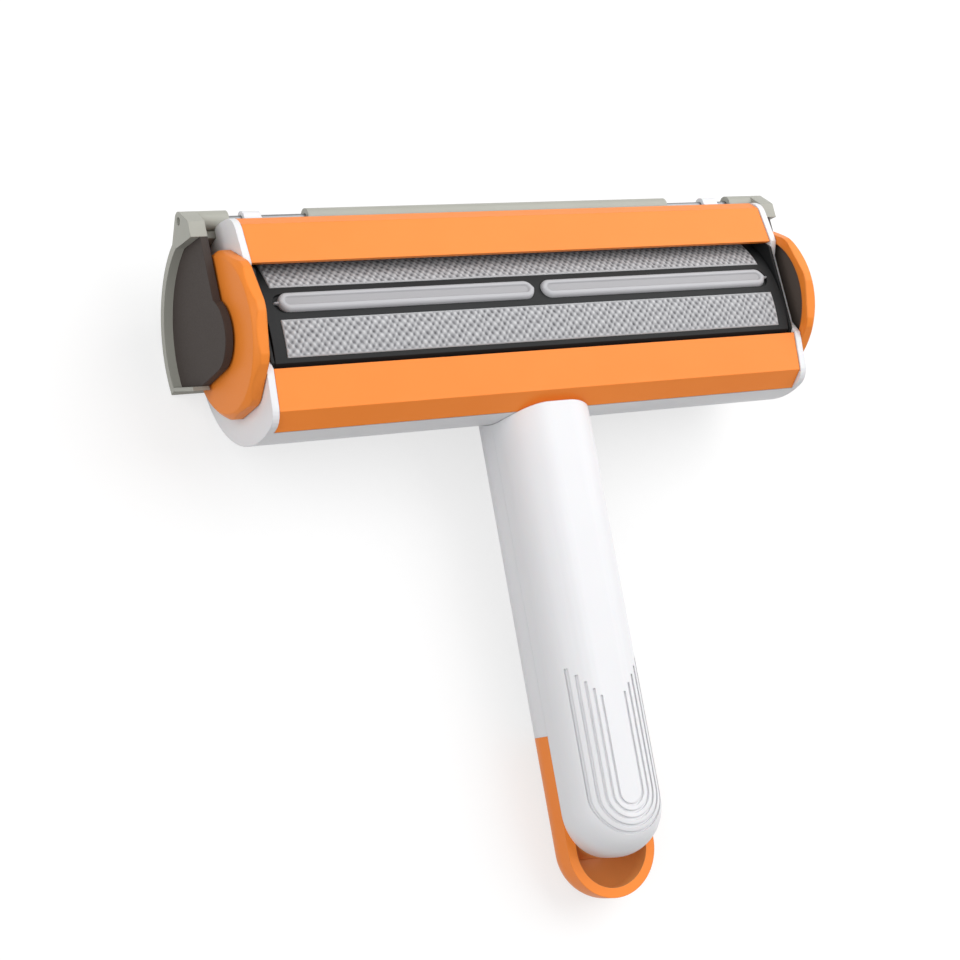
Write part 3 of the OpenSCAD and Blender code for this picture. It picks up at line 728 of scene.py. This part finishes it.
@dataclass
class Drum:
    """The drum's soft pieces: two lint strips and two blades."""

    frame: DrumFrame

    def build(self, palette: Palette) -> list[bpy.types.Object]:
        """Makes, dresses and mounts the soft pieces.

        Args:
            palette: The finishes.

        Returns:
            The pieces.
        """
        made = []
        for node, side in (("upper_fabric", Edge.HINGE), ("lower_fabric", Edge.HANDLE)):
            piece = LintStrip(self.frame, side).build(f"{node}_loops")
            made.append(self.mount(piece, palette, node, LINT_CLOTH, Slot.FABRIC))
        for node, side in (("left_blade", End.LEFT), ("right_blade", End.RIGHT)):
            piece = WiperBlade(self.frame, side).build(f"{node}_bar")
            made.append(self.mount(piece, palette, node, ELASTOMER, Slot.BLADE))
        return made

    @staticmethod
    def mount(piece: bpy.types.Object, palette: Palette, node: str, finish: Finish,
              slot: Slot) -> bpy.types.Object:
        """Dresses a piece and lets it ride on the drum in place of its node.

        Args:
            piece: The new piece.
            palette: The finishes.
            node: Name of the node that it stands for.
            finish: Its finish.
            slot: The record's material slot; not used.

        Returns:
            The same piece.
        """
        palette.dress(piece, finish)
        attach(piece, Body.DRUM.value)
        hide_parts(node)
        return piece


# --- stage --------------------------------------------------------------------------


@dataclass(frozen=True)
class SoftBox:
    """A square area lamp.

    Attributes:
        name: Name of the lamp.
        at: Its place in metres.
        towards: The point that it faces.
        size: Its side in metres.
        power: Its power in watts.
    """

    name: str
    at: tuple[float, float, float]
    towards: tuple[float, float, float]
    size: float
    power: float

    def hang(self) -> None:
        """Hangs the lamp, turned by its polar angles so that it faces its point."""
        lamp = bpy.data.lights.new(self.name, "AREA")
        lamp.size = self.size
        lamp.energy = self.power
        holder = bpy.data.objects.new(self.name, lamp)
        holder.location = self.at
        away = np.array(self.at) - np.array(self.towards)
        away /= np.linalg.norm(away)
        pitch = float(np.arccos(away[2]))
        holder.rotation_euler = Euler((0.0, pitch, float(np.arctan2(away[1], away[0]))), "XYZ")
        bpy.context.scene.collection.objects.link(holder)


# The key comes from the right and behind, so the handle's left flank falls into shade.
KEY = SoftBox("key_soft_box", (0.6, 0.33, 0.8), (0.0, 0.02, 0.02), 1.2, 11.2)
# The fill opens the left end, and leaves a soft shade on the end wall.
FILL = SoftBox("fill_soft_box", (-0.8, 0.04, 0.57), (-0.02, 0.02, 0.02), 0.9, 4.5)


@dataclass
class Studio:
    """Pale floor, soft light and the camera.

    Attributes:
        camera_at: Place of the camera in metres.
        camera_turn: Turn of the camera in degrees about X, Y and Z.
        lens: Focal length in mm.
        sensor: Width of the sensor in mm.
        floor_half: Half of the floor's side in metres.
        floor_down: Depth of the floor under the heel in metres.
        floor_lighting: Colour of the floor for the rays that light the part.
        floor_seen: Colour of the floor as it is seen.
        floor_glow: Share of the seen floor's light that it gives off itself.
        shade_reach: Distances in metres at which the part's shadow starts to fade and ends.
        glow_level: Strength of that glow.
        room_level: Strength of the room's even light on the part.
    """

    camera_at: tuple[float, float, float] = (-0.30199, -0.09446, 0.50417)
    camera_turn: tuple[float, float, float] = (18.375, -26.987, -14.054)
    lens: float = 75.63
    sensor: float = 36.0
    floor_half: float = 4.0
    floor_down: float = 0.0001
    floor_lighting: str = "B4B4B4"
    floor_seen: str = "F4F4F4"
    floor_glow: float = 0.6
    shade_reach: tuple[float, float] = (0.35, 0.8)
    glow_level: float = 1.1
    room_level: float = 0.38

    def build(self) -> None:
        """Makes the floor, the lights, the world and the camera."""
        self.floor()
        self.room()
        KEY.hang()
        FILL.hang()
        self.camera()

    def camera(self) -> None:
        """Sets up the camera at the photograph's place and angle."""
        camera = bpy.data.objects.new("camera", bpy.data.cameras.new("camera"))
        camera.data.lens = self.lens
        camera.data.sensor_width = self.sensor
        camera.location = self.camera_at
        camera.rotation_euler = Euler(np.radians(self.camera_turn).tolist(), "XYZ")
        bpy.context.scene.collection.objects.link(camera)
        bpy.context.scene.camera = camera

    def floor(self) -> None:
        """Lays a floor that glows plain white where it is seen and still takes shadow.

        It lies just under the heel, and a camera below it looks through.
        """
        side, down = self.floor_half, -self.floor_down
        mesh = bpy.data.meshes.new("floor")
        mesh.from_pydata([(-side, -side, down), (side, -side, down), (side, side, down),
                          (-side, side, down)], [], [(0, 1, 2, 3)])
        floor = bpy.data.objects.new("floor", mesh)
        bpy.context.scene.collection.objects.link(floor)
        material = bpy.data.materials.new("matt_white_sweep")
        material.use_nodes = True
        tree = material.node_tree
        tree.nodes.clear()
        seen = self.seen(tree)
        place = add_node(tree, "ShaderNodeTexCoord").outputs["Object"]
        away = add_node(tree, "ShaderNodeVectorMath", {"operation": "LENGTH"}, {0: place})
        far = add_node(tree, "ShaderNodeMapRange",
                       {"From Min": self.shade_reach[0], "From Max": self.shade_reach[1],
                        "To Min": self.floor_glow, "To Max": 1.0},
                       {"Value": away.outputs["Value"]})
        share = add_node(tree, "ShaderNodeMath", {"operation": "MULTIPLY"},
                         {0: seen, 1: far.outputs["Result"]})
        paint = add_node(tree, "ShaderNodeMix",
                         {"data_type": "RGBA", 6: linear(self.floor_lighting),
                          7: linear(self.floor_seen)}, {0: seen})
        matt = add_node(tree, "ShaderNodeBsdfDiffuse", links={"Color": paint.outputs[2]})
        glow = add_node(tree, "ShaderNodeEmission",
                        {"Color": (1, 1, 1, 1), "Strength": self.glow_level})
        mixed = add_node(tree, "ShaderNodeMixShader",
                         links={0: share.outputs[0], 1: matt.outputs[0], 2: glow.outputs[0]})
        below = add_node(tree, "ShaderNodeNewGeometry").outputs["Backfacing"]
        clear = add_node(tree, "ShaderNodeBsdfTransparent")
        sided = add_node(tree, "ShaderNodeMixShader",
                         links={0: below, 1: mixed.outputs[0], 2: clear.outputs[0]})
        add_node(tree, "ShaderNodeOutputMaterial", links={"Surface": sided.outputs[0]})
        mesh.materials.append(material)

    @staticmethod
    def seen(tree: bpy.types.NodeTree) -> bpy.types.NodeSocket:
        """Tells whether a ray comes from the camera, from a gloss or through something clear.

        Args:
            tree: A node tree of the stage.

        Returns:
            A socket that is one for such a ray and zero for the rays that light the part.
        """
        path = add_node(tree, "ShaderNodeLightPath")
        gloss = add_node(tree, "ShaderNodeMath", {"operation": "MAXIMUM"},
                         {0: path.outputs["Is Camera Ray"], 1: path.outputs["Is Glossy Ray"]})
        return add_node(tree, "ShaderNodeMath", {"operation": "MAXIMUM"},
                        {0: gloss.outputs[0], 1: path.outputs["Is Transmission Ray"]}).outputs[0]

    def room(self) -> None:
        """Fills the room with even light, dimmer than the plain white that is seen."""
        world = bpy.data.worlds.new("soft_room")
        world.use_nodes = True
        tree = world.node_tree
        sky = tree.nodes["Background"]
        sky.inputs["Color"].default_value = (1, 1, 1, 1)
        level = add_node(tree, "ShaderNodeMapRange", {"To Min": self.room_level, "To Max": 1.0},
                         {"Value": self.seen(tree)})
        tree.links.new(level.outputs["Result"], sky.inputs["Strength"])
        bpy.context.scene.world = world


def drum_frame(frame: dict[str, Any]) -> DrumFrame:
    """Reads the drum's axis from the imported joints.


    Returns:
        The drum's frame around its joint's axis.
    """
    at = next(j for j in frame["joints"] if j["name"] == "drum_rock")["pos_m"]
    return DrumFrame(axis_y=at[1] / MM, axis_z=at[2] / MM)


def main() -> None:
    """Builds the scene piece by piece and logs each node's finish and each new piece's faces."""
    logging.basicConfig(level=logging.INFO, format="%(name)s: %(message)s")
    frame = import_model()
    bpy.context.scene.view_settings.view_transform = "Standard"
    palette = Palette()
    for name, node in frame["nodes"].items():
        palette.dress(node, NODE_FINISHES[name])
        LOG.info("%s: %s", name, NODE_FINISHES[name].name)
    for piece in Drum(drum_frame(frame)).build(palette):
        LOG.info("%s: %d faces", piece.name, len(piece.data.polygons))
    Studio().build()


if __name__ == "__main__":
    main()
